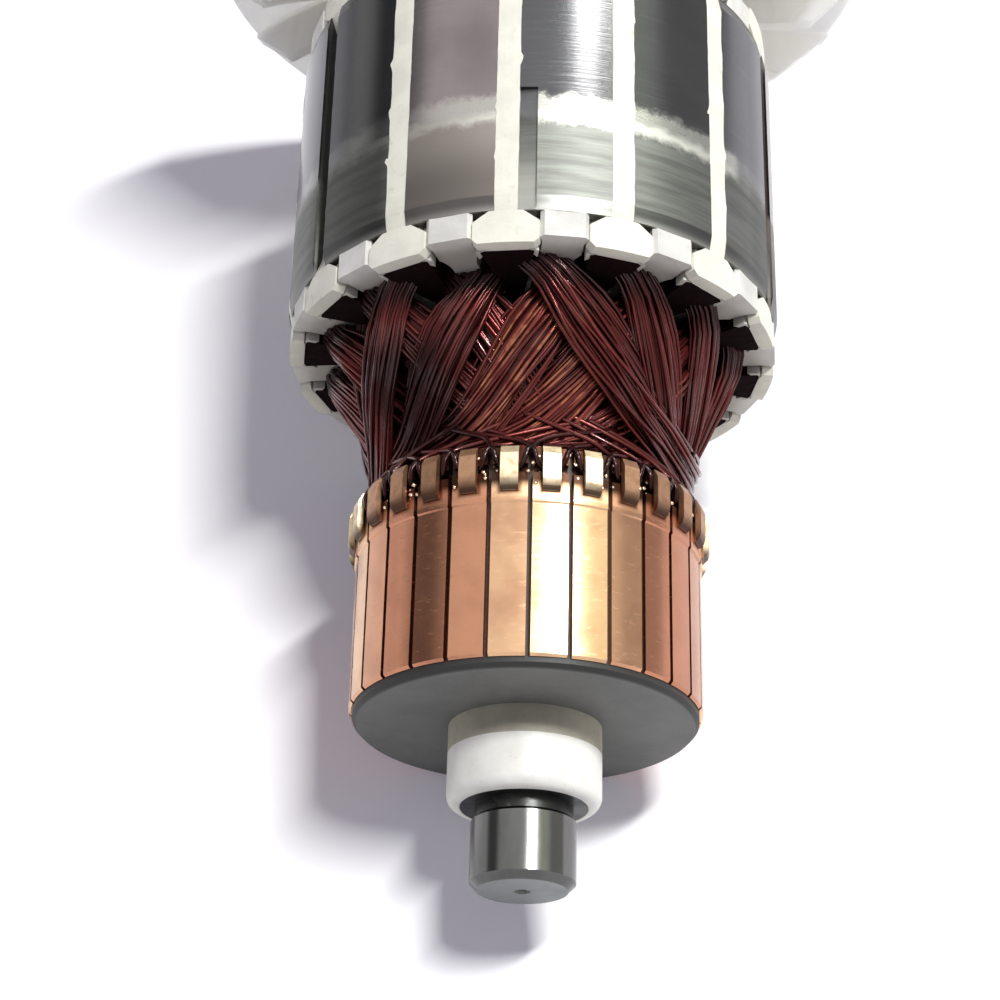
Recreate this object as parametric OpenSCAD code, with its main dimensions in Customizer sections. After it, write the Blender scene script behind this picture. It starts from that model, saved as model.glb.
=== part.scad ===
// Armature of a universal motor: shaft, slotted lamination stack, hooked
// commutator, windings, slot insulation and cooling fan.
// The shaft lies along +Y, with the commutator end toward -Y. The origin is on
// the shaft axis, at the middle of the commutator-end bearing journal.

/* [Shaft] */
// Diameter of the bearing journal at the commutator end
journal_d = 8; // [6:0.1:9]
// Length of the ground commutator-end journal, without chamfer and relief
journal_len = 4.6; // [3:0.1:9]
// Diameter of the shaft between the two journals
shaft_d = 9.7; // [9.3:0.1:12]
// Diameter of the bearing journal at the drive end
drive_journal_d = 9; // [7:0.1:9.2]
// Length of the ground drive-end journal, without its relief
drive_journal_len = 7; // [5:0.5:14]
// Diameter of the pinion seat
pinion_seat_d = 7.5; // [5:0.1:8.5]
// Length of the pinion seat, without its chamfer
pinion_seat_len = 12; // [6:0.5:25]
// Chamfer on both ends of the shaft
end_chamfer = 0.6; // [0.3:0.1:1]
// Diameter of the centre hole in each shaft end
centre_hole_d = 0.8; // [0.6:0.1:2]
// Width of the grinding relief beside the shoulder of each journal
relief_w = 1.2; // [0.6:0.1:2]
// Depth of the grinding relief
relief_depth = 0.25; // [0.1:0.05:0.5]

/* [Shaft insulation] */
// Wall of the insulating sleeve on the shaft
sleeve_wall = 1.05; // [0.7:0.05:1.6]
// Length of sleeve that shows in front of the commutator
sleeve_proud = 2.2; // [1:0.1:4]
// Length of the insulating bush between sleeve and bearing
bush_len = 4.1; // [2.5:0.1:8]
// Rounding of the bush's outer edge
bush_round = 0.9; // [0.3:0.1:1]

/* [Commutator] */
// Number of commutator bars for each slot
bars_per_slot = 2; // [1:1:3]
// Diameter of the brush track
commutator_d = 27.2; // [22.5:0.1:31]
// Length of the brush track
track_len = 12; // [9:0.5:18]
// Length of the riser behind the brush track, which carries the hooks
riser_len = 4.5; // [3.8:0.1:7]
// Width of the gap between neighbouring bars
bar_gap = 0.36; // [0.2:0.02:0.5]
// Radial depth of a bar, with its dovetail foot
bar_depth = 4.6; // [4:0.1:5]
// Depth to which the insulation between the bars is cut back
undercut = 0.5; // [0.3:0.1:0.9]
// Width of a hook
hook_w = 1.35; // [1:0.05:1.8]
// Height of a hook above the brush track
hook_h = 0.7; // [0.5:0.05:1.2]
// Distance that the moulded end face stands proud of the bars
face_proud = 0.8; // [0.4:0.1:1.5]

/* [Core] */
// Outer diameter of the lamination stack
core_d = 40.5; // [38:0.5:49]
// Length of the lamination stack
core_len = 25.2; // [15:0.5:60]
// Number of slots
slots = 14; // [10:1:16]
// Width of the slot opening between the tooth tips
slot_opening = 1.8; // [1.4:0.1:2.3]
// Width of a tooth
tooth_w = 3.4; // [2.8:0.1:3.8]
// Thickness of the tooth tips at the slot opening
tip_t = 1; // [0.7:0.1:1.4]
// Radius at which the slots end toward the shaft
slot_root_r = 10.4; // [10:0.1:11.5]
// Width of the bevel at each end of the stack
core_bevel = 1.2; // [0.4:0.1:2]
// Width of the balancing cut along the edge of one tooth
balance_cut_w = 1.4; // [0.6:0.1:2.4]
// Length of the balancing cut from the commutator end of the stack
balance_cut_len = 11; // [4:0.5:15]
// Depth of the balancing cut
balance_cut_depth = 0.35; // [0.1:0.05:0.5]
// Angle of the first slot from the top, toward +X
first_slot = 18.8; // [0:0.1:25]

/* [Slot insulation] */
// Thickness of the slot liners
liner_t = 0.35; // [0.2:0.05:0.5]
// Length of the liners and wedges outside the stack
cuff_len = 2.8; // [2.4:0.1:4]
// Width of the T-shaped wedge ends
wedge_head_w = 5.1; // [3.5:0.1:5.3]
// Thickness of the wedge ends
wedge_head_t = 1.1; // [0.8:0.1:1.4]
// Thickness of the star-shaped end insulators
star_t = 2.2; // [1.2:0.1:2.3]
// Diameter of the round mouths where the coils leave the slots
mouth_d = 5.2; // [4:0.1:5.6]
// Distance of the slot insulation below the outside of the stack
insulation_drop = 0.3; // [0.1:0.05:0.5]

/* [Windings] */
// Length from the commutator to the stack
winding_space = 16.8; // [12:0.1:25]
// Length of the winding head at the fan end, from the stack
rear_head_len = 11.5; // [9:0.5:14]
// Radius of one bundle of wires
bundle_r = 2.1; // [1.5:0.1:2.2]
// Number of slots that one coil spans
coil_pitch = 6; // [4:1:7]

/* [Fan] */
// Outer diameter of the fan
fan_d = 59; // [54:0.5:66]
// Distance from the stack to the fan's disc
fan_distance = 15; // [14:0.5:25]
// Number of blades
blades = 19; // [9:1:21]
// Height of the blades
blade_h = 5; // [3:0.5:6]
// Thickness of a blade
blade_t = 1.1; // [0.8:0.1:1.6]
// Radius at which the blades start
blade_root_r = 15.5; // [14.5:0.5:18]
// Radius of the blades' curve
blade_curve_r = 26; // [20:1:60]
// Thickness of the fan's disc
disc_t = 1.8; // [1.2:0.1:3]
// Diameter of the fan's hub
hub_d = 17; // [15:0.5:20]
// Length of the hub in front of the disc
hub_nose = 2.4; // [0.6:0.1:2.9]
// Length of the hub behind the disc
hub_back = 3; // [1:0.5:8]

/* [Hidden] */
$fn = 64;

// Step from the turned brush track up to the riser
riser_step = 0.12;
// Distance from the brush track to the tip of a hook
hook_setback = 0.9;
// Radius of the groove that holds the wires under a hook
eye_r = 0.45;
// Distance of that groove from the inner end of the riser
eye_setback = 1.7;

// Thickness of the insulation that stays on the stack behind a slot mouth
mouth_floor = 0.6;

// Clearance between round pieces that are pressed together
press = 0.02;
// Clearance between plain pieces that lie side by side
side = 0.08;
// Length by which a cutting solid overshoots
over = 1;

bars = slots * bars_per_slot;
slot_pitch = 360 / slots;
bar_pitch = 360 / bars;

sleeve_d = shaft_d + 2 * sleeve_wall;
fit_r = sleeve_d / 2 + press;
comm_r = commutator_d / 2;
core_r = core_d / 2;
cuff_r = core_r - insulation_drop;
wedge_head_r = cuff_r - wedge_head_t;

// Places along the shaft, from the commutator end to the drive end
shaft_start = -journal_len / 2 - end_chamfer;
shoulder = journal_len / 2 + relief_w;
sleeve_start = shoulder + bush_len;
face_start = sleeve_start + sleeve_proud;
bars_start = face_start + face_proud;
bars_len = track_len + riser_len;
bars_end = bars_start + bars_len;
core_start = bars_end + winding_space;
core_end = core_start + core_len;
fan_face = core_end + fan_distance;
hub_start = fan_face - hub_nose;
hub_end = fan_face + disc_t + hub_back;
drive_journal_start = hub_end + relief_w;
drive_journal_end = drive_journal_start + drive_journal_len;
pinion_seat_end = drive_journal_end + pinion_seat_len;
shaft_end = pinion_seat_end + end_chamfer;

// The slot's widest place lies under the tooth tips
slot_top_r = core_r - tip_t - 0.7;
slot_top_w = slot_width(slot_top_r);
slot_root_w = slot_width(slot_root_r + 0.5);
// The wedge lies against the two tooth tips from inside
wedge_foot_t = 0.5;
wedge_foot_w = slot_opening + 1.6;
wedge_foot_r = core_r - tip_t - wedge_foot_t;

// Radii of an end turn where it leaves the slot and where it passes the shaft
coil_mid_r = (slot_root_r + wedge_foot_r) / 2;
waist_r = fit_r + bundle_r + 1.4;
// Angle of the first blade from the top, toward +X
first_blade = 5.3;

function slot_width(r) = 2 * r * sin(slot_pitch / 2) - tooth_w;
// Width that a star's tooth can have between two wedge ends
function room_between_heads(r) =
    (2 * r * sin(slot_pitch / 2) - wedge_head_w) / cos(slot_pitch / 2) - 2 * press;
function numbered(word, i) = str(word, "_", i < 10 ? "0" : "", i);
function slot_angle(i) = first_slot + (i - 1) * slot_pitch;
// Bar 1 lies on the radius of slot 1
function bar_angle(i) = first_slot + (i - 1) * bar_pitch;

WEDGES = [for (i = [1:slots]) numbered("slot_wedge", i)];
BARS = [for (i = [1:bars]) numbered("commutator_bar", i)];

// Turns a piece that is built along +Z onto the shaft axis
module along_shaft(place = 0) {
    rotate([-90, 0, 0]) translate([0, 0, place]) children();
}

// Turns a piece that is built on the +X side to an angle from the top
module at_angle(angle) {
    rotate([0, 0, angle - 90]) children();
}

// Copies a piece round the axis
module around(count, first) {
    for (i = [0:count - 1]) at_angle(first + i * 360 / count) children();
}

module tube(outer_r, inner_r, length) {
    difference() {
        cylinder(r = outer_r, h = length);
        translate([0, 0, -over]) cylinder(r = inner_r, h = length + 2 * over);
    }
}

// ---------------------------------------------------------------- shaft

module shaft() {
    journal_r = journal_d / 2;
    body_r = shaft_d / 2;
    drive_r = drive_journal_d / 2;
    seat_r = pinion_seat_d / 2;
    color("silver") along_shaft() difference() {
        rotate_extrude() polygon([
            [0, shaft_start],
            [journal_r - end_chamfer, shaft_start],
            [journal_r, shaft_start + end_chamfer],
            [journal_r, journal_len / 2],
            [journal_r - relief_depth, journal_len / 2 + relief_depth],
            [journal_r - relief_depth, shoulder],
            [body_r, shoulder],
            [body_r, hub_end],
            [drive_r - relief_depth, hub_end],
            [drive_r - relief_depth, drive_journal_start - relief_depth],
            [drive_r, drive_journal_start],
            [drive_r, drive_journal_end],
            [seat_r, drive_journal_end],
            [seat_r, pinion_seat_end],
            [seat_r - end_chamfer, shaft_end],
            [0, shaft_end]
        ]);
        centre_hole(shaft_start);
        mirror([0, 0, 1]) centre_hole(-shaft_end);
    }
}

// A short drilled hole with a countersunk mouth
module centre_hole(place) {
    hole_r = centre_hole_d / 2;
    mouth_r = hole_r * 1.3;
    translate([0, 0, place]) rotate_extrude() polygon([
        [0, -over],
        [mouth_r, -over],
        [mouth_r, 0],
        [hole_r, hole_r * 0.5],
        [hole_r, hole_r * 4],
        [0, hole_r * 4.6]
    ]);
}

module shaft_sleeve() {
    color("linen") along_shaft(sleeve_start)
        tube(sleeve_d / 2, shaft_d / 2 + press, hub_start - sleeve_start);
}

module insulating_bush() {
    bore_r = shaft_d / 2 + press;
    outer_r = sleeve_d / 2;
    round_r = min(bush_round, sleeve_wall - press - 0.05);
    color("white") along_shaft(shoulder) rotate_extrude() {
        translate([bore_r, round_r]) square([outer_r - bore_r, bush_len - round_r]);
        translate([bore_r, 0]) square([outer_r - bore_r - round_r, bush_len]);
        intersection() {
            translate([outer_r - round_r, round_r]) circle(r = round_r);
            translate([outer_r - round_r, 0]) square(round_r);
        }
    }
}

// ----------------------------------------------------------- commutator

// Half section of a bar: brush track, riser and dovetail foot
module bar_section() {
    lip = 2.2;
    neck = bar_depth - 1.8;
    claw = bar_depth - 0.6;
    polygon([
        [comm_r - 0.2, 0],
        [comm_r, 0.2],
        [comm_r, track_len],
        [comm_r + riser_step, track_len + riser_step],
        [comm_r + riser_step, bars_len],
        [comm_r - lip, bars_len],
        [comm_r - neck, bars_len - 2.4],
        [comm_r - claw, bars_len - 1.2],
        [comm_r - bar_depth, bars_len - 1.2],
        [comm_r - bar_depth, 1.2],
        [comm_r - claw, 1.2],
        [comm_r - neck, 2.4],
        [comm_r - lip, 0]
    ]);
}

// Outline of a hook from the side; its tip slopes up from the brush track
module hook_section() {
    tip = track_len + hook_setback;
    tip_h = hook_h * 0.35;
    slope = 0.8;
    bend = hook_h * 0.5;
    top_r = comm_r + hook_h;
    polygon([
        [comm_r - undercut, tip],
        [comm_r + tip_h, tip],
        [top_r - 0.2 * hook_h, tip + slope * 0.4],
        [top_r, tip + slope],
        [top_r, bars_len - 2 * bend],
        [top_r - bend, bars_len],
        [comm_r - undercut, bars_len]
    ]);
}

module bar_body() {
    cut_side = comm_r * 0.6;
    difference() {
        rotate([0, 0, -bar_pitch / 2]) rotate_extrude(angle = bar_pitch) bar_section();
        for (turn = [-1, 1]) rotate([0, 0, turn * bar_pitch / 2])
            translate([0, turn * cut_side / 2 - turn * bar_gap / 2, bars_len / 2])
                cube([2 * comm_r + over, cut_side, bars_len + over], center = true);
    }
}

module bar_hook() {
    rotate([90, 0, 0]) linear_extrude(height = hook_w, center = true) hook_section();
}

module commutator_bar(i) {
    color("peru") along_shaft(bars_start) at_angle(bar_angle(i)) difference() {
        union() {
            bar_body();
            bar_hook();
        }
        // The wires lie in a groove across the bar and pass under the hook
        rotate([90, 0, 0]) translate([comm_r - 0.2, bars_len - eye_setback, 0])
            cylinder(r = eye_r, h = 4 * hook_w, center = true, $fn = 16);
    }
}

module commutator_moulding() {
    plate_r = comm_r - 0.3;
    rib_r = comm_r - undercut;
    color("dimgray") along_shaft(bars_start) {
        difference() {
            rotate_extrude() polygon([
                [fit_r, -face_proud],
                [plate_r - 0.4, -face_proud],
                [plate_r, -face_proud + 0.4],
                [plate_r, 0],
                [comm_r - 1, 0],
                [comm_r - 1, bars_len],
                [fit_r, bars_len]
            ]);
            rotate_extrude() bar_section();
        }
        intersection() {
            rotate_extrude() bar_section();
            around(bars, first_slot + bar_pitch / 2)
                translate([rib_r / 2, 0, bars_len / 2])
                    cube([rib_r, bar_gap, bars_len], center = true);
        }
    }
}

// ----------------------------------------------------------------- core

// Outline of one slot; inset moves its walls inward
module slot_outline(inset = 0) {
    top_w = slot_top_w - 2 * inset;
    root_w = slot_root_w - 2 * inset;
    throat_w = wedge_foot_w - 2 * inset;
    root_r = slot_root_r + slot_root_w / 2;
    shelf_r = core_r - tip_t;
    polygon([
        [root_r, -root_w / 2],
        [slot_top_r, -top_w / 2],
        [shelf_r - inset, -throat_w / 2],
        [shelf_r - inset, throat_w / 2],
        [slot_top_r, top_w / 2],
        [root_r, root_w / 2]
    ]);
    translate([root_r, 0]) circle(d = root_w, $fn = 24);
}

module lamination_stack() {
    bevel_in = 0.25;
    color("slategray") along_shaft(core_start) difference() {
        intersection() {
            linear_extrude(height = core_len) difference() {
                circle(r = core_r, $fn = 128);
                circle(r = fit_r);
                around(slots, first_slot) {
                    slot_outline();
                    translate([slot_top_r, -slot_opening / 2])
                        square([core_r, slot_opening]);
                }
            }
            rotate_extrude($fn = 128) polygon([
                [0, 0],
                [core_r - bevel_in, 0],
                [core_r, core_bevel],
                [core_r, core_len - core_bevel],
                [core_r - bevel_in, core_len],
                [0, core_len]
            ]);
        }
        at_angle(slot_angle(slots))
            translate([core_r - balance_cut_depth, slot_opening / 2 - side, -over])
                cube([core_r, balance_cut_w + side, balance_cut_len + over]);
    }
}

// Round mouths through which the coils leave the slots, from z = 0 outward
module slot_mouths() {
    translate([0, 0, mouth_floor]) linear_extrude(height = cuff_len + over)
        around(slots, first_slot)
            translate([wedge_head_r - mouth_d / 2, 0]) circle(d = mouth_d, $fn = 32);
}

// A star of insulating spokes, one on each tooth, from z = 0 outward
module star_insulator() {
    ring_r = slot_root_r - side;
    corner = 0.3;
    root_w = tooth_w - 0.7;
    spoke_w = min(tooth_w - 0.25, room_between_heads(wedge_head_r));
    tip_w = room_between_heads(cuff_r - corner);
    difference() {
        linear_extrude(height = star_t) difference() {
            union() {
                circle(r = ring_r);
                around(slots, first_slot + slot_pitch / 2) polygon([
                    [0, -root_w / 2],
                    [slot_root_r + 1, -root_w / 2],
                    [cuff_r - 3, -spoke_w / 2],
                    [wedge_head_r, -spoke_w / 2],
                    [cuff_r - corner, -tip_w / 2],
                    [cuff_r, -tip_w / 2 + corner],
                    [cuff_r, tip_w / 2 - corner],
                    [cuff_r - corner, tip_w / 2],
                    [wedge_head_r, spoke_w / 2],
                    [cuff_r - 3, spoke_w / 2],
                    [slot_root_r + 1, root_w / 2],
                    [0, root_w / 2]
                ]);
            }
            circle(r = fit_r);
        }
        slot_mouths();
    }
}

module front_star_insulator() {
    color("ivory") along_shaft(core_start) mirror([0, 0, 1]) star_insulator();
}

module rear_star_insulator() {
    color("ivory") along_shaft(core_end) star_insulator();
}

// ------------------------------------------------------ slot insulation

// Cuts an outline back to what lies under the wedge
module under_wedge() {
    intersection() {
        children();
        translate([0, -core_r]) square([wedge_foot_r - press, 2 * core_r]);
    }
}

module slot_liners() {
    color("ivory") along_shaft(core_start) difference() {
        translate([0, 0, -cuff_len]) linear_extrude(height = core_len + 2 * cuff_len)
            around(slots, first_slot) under_wedge() difference() {
                slot_outline(press);
                slot_outline(liner_t);
            }
        mirror([0, 0, 1]) slot_mouths();
        translate([0, 0, core_len]) slot_mouths();
    }
}

// Flat outline of the T-shaped end, with its neck at the origin
module wedge_head_outline() {
    half_w = wedge_head_w / 2;
    neck_w = slot_opening / 2 + 0.4;
    corner = 0.4;
    slope = 0.9;
    polygon([
        [-neck_w, 0],
        [neck_w, 0],
        [half_w, -slope],
        [half_w, -cuff_len + corner],
        [half_w - corner, -cuff_len],
        [-half_w + corner, -cuff_len],
        [-half_w, -cuff_len + corner],
        [-half_w, -slope]
    ]);
}

module wedge_head() {
    intersection() {
        translate([wedge_head_r, 0, 0]) rotate([90, 0, 90])
            linear_extrude(height = core_r) wedge_head_outline();
        translate([0, 0, -cuff_len - over]) cylinder(r = cuff_r, h = cuff_len + 2 * over, $fn = 128);
    }
}

module slot_wedge(i) {
    strip_w = slot_opening - 2 * press;
    foot_w = wedge_foot_w - 2 * press;
    color("ivory") along_shaft(core_start) at_angle(slot_angle(i)) {
        translate([0, 0, -cuff_len]) linear_extrude(height = core_len + 2 * cuff_len)
            intersection() {
                union() {
                    translate([wedge_foot_r, -strip_w / 2]) square([core_r, strip_w]);
                    translate([wedge_foot_r, -foot_w / 2])
                        square([wedge_foot_t - press, foot_w]);
                }
                circle(r = cuff_r, $fn = 128);
            }
        wedge_head();
        translate([0, 0, core_len]) mirror([0, 0, 1]) wedge_head();
    }
}

// ------------------------------------------------------------- windings

module coil_sides() {
    color("sienna") along_shaft(core_start - cuff_len)
        linear_extrude(height = core_len + 2 * cuff_len)
            around(slots, first_slot) under_wedge() slot_outline(liner_t + press);
}

// A point on the middle line of a coil's end turn, t from 0 at one slot to 1
// at the other; the end turn rises from z = 0 and wraps round the shaft
function end_turn_point(t, rise) =
    let (
        lift = sin(180 * t),
        turn = coil_pitch * slot_pitch * (t - sin(360 * t) / 12),
        r = coil_mid_r - (coil_mid_r - waist_r) * pow(lift, 1.5)
    )
    [r * cos(turn), r * sin(turn), rise * pow(lift, 0.6)];

module end_turn(rise) {
    steps = 12;
    for (k = [0:steps - 1]) hull() {
        translate(end_turn_point(k / steps, rise)) sphere(r = bundle_r, $fn = 8);
        translate(end_turn_point((k + 1) / steps, rise)) sphere(r = bundle_r, $fn = 8);
    }
}

// All end turns at one end of the stack, from z = 0 at the cuffs up to length
module winding_head(length, neck_r) {
    intersection() {
        union() {
            around(slots, first_slot) end_turn(length - bundle_r);
            rotate_extrude($fn = 56) polygon([
                [0, 0],
                [coil_mid_r - 0.6, 0],
                [coil_mid_r - 0.8, length * 0.35],
                [neck_r, length * 0.75],
                [neck_r, length + over],
                [0, length + over]
            ]);
        }
        tube(core_r - 2, fit_r, length);
    }
}

module front_winding_head() {
    length = winding_space - cuff_len - side;
    color("sienna") along_shaft(core_start - cuff_len) mirror([0, 0, 1])
        winding_head(length, comm_r - 1);
}

module rear_winding_head() {
    color("sienna") along_shaft(core_end + cuff_len)
        winding_head(rear_head_len - cuff_len, waist_r + 1);
}

// ------------------------------------------------------------------ fan

// Plan of one blade, curved back from the radial line
module blade_outline() {
    reach = fan_d / 2 - blade_root_r;
    intersection() {
        translate([blade_root_r, -blade_curve_r]) difference() {
            circle(r = blade_curve_r + blade_t / 2, $fn = 96);
            circle(r = blade_curve_r - blade_t / 2, $fn = 96);
        }
        translate([blade_root_r - over, -reach]) square([reach + 2 * over, reach + blade_t]);
    }
}

// Space that the blades fill: they slope down to the rim
module blade_envelope() {
    rim_r = fan_d / 2;
    rim_h = 0.5;
    rotate_extrude($fn = 96) polygon([
        [blade_root_r, 0],
        [rim_r, 0],
        [rim_r, rim_h],
        [rim_r - blade_h + rim_h, blade_h],
        [blade_root_r + 1.5, blade_h],
        [blade_root_r, blade_h - 1.5]
    ]);
}

module fan() {
    bore_r = shaft_d / 2 + press;
    hub_r = hub_d / 2;
    rim_r = fan_d / 2;
    corner = 0.5;
    color("whitesmoke") along_shaft(fan_face) {
        rotate_extrude($fn = 96) polygon([
            [bore_r, -hub_nose],
            [hub_r - corner, -hub_nose],
            [hub_r, -hub_nose + corner],
            [hub_r, 0],
            [rim_r, 0],
            [rim_r, disc_t * 0.7],
            [hub_r + 2, disc_t],
            [hub_r, disc_t + 1],
            [hub_r - 0.4, disc_t + hub_back],
            [bore_r, disc_t + hub_back]
        ]);
        mirror([0, 0, 1]) intersection() {
            linear_extrude(height = blade_h) around(blades, first_blade) blade_outline();
            blade_envelope();
        }
    }
}

shaft();
shaft_sleeve();
insulating_bush();
lamination_stack();
front_star_insulator();
rear_star_insulator();
slot_liners();
coil_sides();
front_winding_head();
rear_winding_head();
commutator_moulding();
fan();
for (i = [1:slots]) slot_wedge(i);
for (i = [1:bars]) commutator_bar(i);
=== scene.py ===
import math
import random
from dataclasses import dataclass

import bmesh
import bpy
import numpy as np
from mathutils import Matrix, Vector


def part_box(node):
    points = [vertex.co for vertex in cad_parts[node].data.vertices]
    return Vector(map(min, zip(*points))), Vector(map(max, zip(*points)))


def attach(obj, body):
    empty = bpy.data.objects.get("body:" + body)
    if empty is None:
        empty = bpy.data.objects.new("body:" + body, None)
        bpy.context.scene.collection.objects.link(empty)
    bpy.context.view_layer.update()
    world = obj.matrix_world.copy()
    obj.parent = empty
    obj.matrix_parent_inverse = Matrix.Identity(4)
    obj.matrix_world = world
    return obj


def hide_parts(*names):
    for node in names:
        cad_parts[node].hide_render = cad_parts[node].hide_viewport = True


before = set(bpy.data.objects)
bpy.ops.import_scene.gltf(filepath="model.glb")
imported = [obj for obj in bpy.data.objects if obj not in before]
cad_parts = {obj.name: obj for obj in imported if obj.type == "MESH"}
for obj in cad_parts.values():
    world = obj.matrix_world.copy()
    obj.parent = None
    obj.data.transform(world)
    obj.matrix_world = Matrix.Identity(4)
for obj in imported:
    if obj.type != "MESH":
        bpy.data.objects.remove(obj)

bl_info = {
    "name": "Motor armature",
    "version": (1, 0, 0),
    "blender": (4, 5, 0),
    "location": "View3D > Sidebar > Armature",
    "description": "Finishes, wound coils, floor and light for a motor armature",
    "category": "Object",
}

MM = 0.001
ENTIRE_TURN = 2 * math.pi
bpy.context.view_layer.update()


# ------------------------------------------------------ places on the frame


def along(node):
    """Where a node starts and ends along the shaft, in millimetres."""
    low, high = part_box(node)
    return low.y / MM, high.y / MM


def named(word):
    """The frame's nodes whose names start with a word, in order."""
    return sorted(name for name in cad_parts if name.startswith(word))


WEDGES = named("slot_wedge_")
BARS = named("commutator_bar_")
SLOT_PITCH = ENTIRE_TURN / len(WEDGES)
BAR_PITCH = ENTIRE_TURN / len(BARS)
# From straight up, towards +X
FIRST_SLOT = math.radians(18.8)
STACK_START, STACK_END = along("lamination_stack")
CUFFS_START, CUFFS_END = along("slot_liners")
BARS_START, BARS_END = along("commutator_bar_01")
STACK_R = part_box("lamination_stack")[1].x / MM
MOULDING_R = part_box("commutator_moulding")[1].x / MM
SHAFT_START = along("shaft")[0]
SHOULDER = along("insulating_bush")[0]
# Bevel of the stack's rims
CORE_BEVEL = 1.2
# Where the ground journal gives way to the relief beside the shoulder
RELIEF_START = SHOULDER - 1.2
# The brush track's radius, and the length of the riser that carries the hook
TRACK_R = 13.6
RISER_LENGTH = 4.5
TRACK_END = BARS_END - RISER_LENGTH


# ------------------------------------------------------------ shader kit


class Signal:
    """An output of a shader node. Arithmetic on signals adds Math nodes."""

    def __init__(self, finish, socket):
        self.finish = finish
        self.socket = socket

    def math(self, operation, *operands):
        return self.finish.node(
            "ShaderNodeMath", {"operation": operation}, dict(enumerate(operands))
        )

    def __add__(self, other):
        return self.math("ADD", self, other)

    __radd__ = __add__

    def __sub__(self, other):
        return self.math("SUBTRACT", self, other)

    def __rsub__(self, other):
        return self.math("SUBTRACT", other, self)

    def __mul__(self, other):
        return self.math("MULTIPLY", self, other)

    __rmul__ = __mul__

    def __truediv__(self, other):
        return self.math("DIVIDE", self, other)

    def __pow__(self, other):
        return self.math("POWER", self, other)

    def __abs__(self):
        return self.math("ABSOLUTE", self)

    def floor(self):
        return self.math("FLOOR", self)

    def cycle(self, count):
        """The remainder after a division by a count, never negative."""
        return self.math("FLOORED_MODULO", self, count)

    def sine(self):
        return self.math("SINE", self)

    def most(self, other):
        return self.math("MAXIMUM", self, other)

    def rise(self, start, end):
        """0 up to start, 1 from end, and a smooth step between them."""
        return self.finish.node(
            "ShaderNodeMapRange",
            {"interpolation_type": "SMOOTHSTEP"},
            {"Value": self, "From Min": start, "From Max": end},
        )

    def between(self, low, high, soft):
        """1 from low to high and 0 outside, with soft edges."""
        return self.rise(low - soft, low + soft) * (
            1 - self.rise(high - soft, high + soft)
        )


def rgba(colour):
    """A colour with its alpha."""
    return (*colour, 1.0)


def tinted(colour, share):
    """A colour made darker, or lighter by a share above 1."""
    return [share * part for part in colour]


def scaled(colour, shares):
    """A colour with a share for each of red, green and blue."""
    return [share * part for share, part in zip(shares, colour)]


class Finish:
    """One material with the nodes behind it. Places are in millimetres."""

    def __init__(self, name, fixed=None):
        self.material = bpy.data.materials.new(name)
        self.material.use_nodes = True
        tree = self.material.node_tree
        self.nodes, self.links = tree.nodes, tree.links
        self.shader = tree.nodes["Principled BSDF"]
        self.output = tree.nodes["Material Output"]
        for key, value in (fixed or {}).items():
            self.shader.inputs[key].default_value = value

    def node(self, kind, settings=None, inputs=None, output=0):
        """A node with its settings and the values or signals of its sockets."""
        made = self.nodes.new(kind)
        for key, value in (settings or {}).items():
            setattr(made, key, value)
        for key, value in (inputs or {}).items():
            if isinstance(value, Signal):
                self.links.new(value.socket, made.inputs[key])
            else:
                made.inputs[key].default_value = value
        return Signal(self, made.outputs[output])

    def feed(self, name, signal):
        self.links.new(signal.socket, self.shader.inputs[name])

    def place(self):
        """The place on the armature, as a vector in millimetres."""
        inputs = {0: self.node("ShaderNodeTexCoord", output="Object"), "Scale": 1 / MM}
        return self.node("ShaderNodeVectorMath", {"operation": "SCALE"}, inputs)

    def parts(self, vector):
        """The three parts of a vector."""
        return [
            self.node("ShaderNodeSeparateXYZ", None, {0: vector}, axis)
            for axis in range(3)
        ]

    def stretched(self, vector, x, y, z):
        return self.node(
            "ShaderNodeVectorMath", {"operation": "MULTIPLY"}, {0: vector, 1: (x, y, z)}
        )

    def vector(self, x, y, z):
        return self.node("ShaderNodeCombineXYZ", None, {0: x, 1: y, 2: z})

    def noise(self, vector, scale, detail=3.0, roughness=0.5):
        inputs = {"Vector": vector, "Scale": scale, "Detail": detail}
        return self.node("ShaderNodeTexNoise", None, {**inputs, "Roughness": roughness})

    def rings(self, distance, scale, detail=2.0):
        """Uneven lines that repeat along one distance only."""
        return self.node(
            "ShaderNodeTexNoise",
            {"noise_dimensions": "1D"},
            {"W": distance, "Scale": scale, "Detail": detail},
        )

    def mix(self, share, first, second):
        """A colour between two colours, by a share from 0 to 1."""
        first, second = (
            end if isinstance(end, Signal) else rgba(end) for end in (first, second)
        )
        inputs = {0: share, 6: first, 7: second}
        return self.node("ShaderNodeMix", {"data_type": "RGBA"}, inputs, output=2)

    def bump(self, height, distance, strength=1.0):
        inputs = {"Strength": strength, "Distance": distance * MM, "Height": height}
        self.feed("Normal", self.node("ShaderNodeBump", None, inputs))


def round_shaft(finish):
    """Place, distance along the shaft, radius and angle of a finish."""
    place = finish.place()
    x, y, z = finish.parts(place)
    radius = (x * x + z * z) ** 0.5
    angle = x.math("ARCTAN2", x, z)
    return place, y, radius, angle


def wear_finish(nodes, finish):
    """Gives CAD nodes a finish."""
    for name in nodes:
        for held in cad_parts[name].material_slots:
            held.material = finish.material


# -------------------------------------------------------------- finishes

# Freshly ground steel, used for the painted highlight on the core band's edge
FRESH_STEEL_HIGHLIGHT = (0.66, 0.66, 0.6)
CUT_STEEL = (0.4, 0.4, 0.37)
BARE_COPPER = (0.85, 0.6, 0.42)
# Near-black enamel for painted shade
SHADED_ENAMEL = (0.02, 0.006, 0.007)
# Hook colours in painted light and in painted shade
LIT_HOOK = (0.86, 0.74, 0.5)
SHADED_HOOK = (0.46, 0.27, 0.165)
DUST = (0.2, 0.18, 0.15)
GREASE = (0.38, 0.34, 0.26)


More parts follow.
